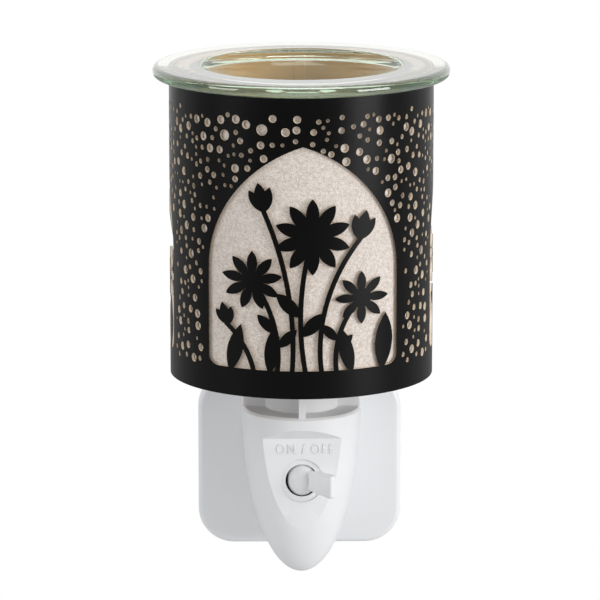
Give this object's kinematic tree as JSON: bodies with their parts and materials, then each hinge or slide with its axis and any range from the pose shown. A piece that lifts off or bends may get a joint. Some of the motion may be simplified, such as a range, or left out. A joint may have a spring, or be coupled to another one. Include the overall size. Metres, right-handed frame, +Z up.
{
  "type": "plug-in wax melt warmer",
  "caption": "Plug-in wax melt warmer: clear glass dish on a pierced black metal shade with a frosted liner, over a small screw bulb on a white wall-plug base with a lever switch.",
  "frame": {"origin": "centre of the back plate's wall face, where the plug meets the wall socket", "axes": "+Y into the wall along the pins, +Z up along the lamp's axis, +X to the right seen from the front"},
  "size_m": [0.09, 0.1147, 0.1605],
  "materials": {
    "white_plastic": "satin white moulding",
    "inner_plastic": "plain off-white moulding",
    "lampholder_insulator": "heat-proof insulator",
    "pin_brass": "plain brass",
    "pin_sleeve": "black sleeve",
    "contact_brass": "stamped brass",
    "cap_metal": "thin drawn cap",
    "solder": "dull solder",
    "cap_insulator": "black vitrite glass",
    "bulb_glass": "clear blown glass",
    "stem_glass": "clear glass stem",
    "lead_metal": "nickel wire",
    "filament": "tungsten",
    "brown_wire": "brown insulation",
    "blue_wire": "blue insulation",
    "screw_steel": "zinc plated",
    "black_metal": "satin black lacquer",
    "frosted_liner": "frosted warm white sheet",
    "gold_metal": "gold lacquer",
    "dish_glass": "clear pressed glass"
  },
  "bodies": {
    "base": {"front_cover": "white_plastic", "rear_housing": "white_plastic", "back_cover": "white_plastic", "lampholder_collar": "white_plastic", "earth_pin": "white_plastic", "switch_frame": "inner_plastic", "lampholder_core": "lampholder_insulator", "live_pin": "pin_brass", "neutral_pin": "pin_brass", "live_pin_sleeve": "pin_sleeve", "neutral_pin_sleeve": "pin_sleeve", "live_contact": "contact_brass", "lamp_contact": "contact_brass", "centre_contact": "contact_brass", "screw_shell": "contact_brass", "live_wire": "brown_wire", "lamp_wire": "brown_wire", "neutral_wire": "blue_wire", "cover_screws": "screw_steel", "back_screws": "screw_steel"},
    "switch": {"switch_lever": "white_plastic", "moving_contact": "contact_brass"},
    "shade": {"shade": "black_metal", "shade_liner": "frosted_liner", "top_hoop": "gold_metal", "shade_spider": "gold_metal"},
    "dish": {"glass_dish": "dish_glass"},
    "bulb_pip": {"bulb_contact": "solder"},
    "bulb": {"bulb_cap": "cap_metal", "bulb_insulator": "cap_insulator", "bulb_glass": "bulb_glass", "bulb_stem": "stem_glass", "bulb_wires": "lead_metal", "bulb_filament": "filament"}
  },
  "joints": [
    {"name": "switch_turn", "type": "hinge", "parent": "base", "child": "switch", "pos_m": [0, -0.0572, 0.0065], "axis": [0, 0, 1], "range_deg": [-82, 0]},
    {"name": "shade_lift", "type": "slide", "parent": "base", "child": "shade", "axis": [0, 0, 1], "range_m": [0, 0.07]},
    {"name": "dish_lift", "type": "slide", "parent": "shade", "child": "dish", "axis": [0, 0, 1], "range_m": [0, 0.03]},
    {"name": "bulb_rise", "type": "slide", "parent": "base", "child": "bulb_pip", "axis": [0, 0, 1], "range_m": [0, 0.0113]},
    {"name": "bulb_turn", "type": "hinge", "parent": "bulb_pip", "child": "bulb", "pos_m": [0, -0.047, 0.05], "axis": [0, 0, 1], "range_deg": [0, 1440]}
  ],
  "couplings": [
    {"joint": "bulb_rise", "follows": "bulb_turn", "m_per_rad": 0.00044917}
  ]
}
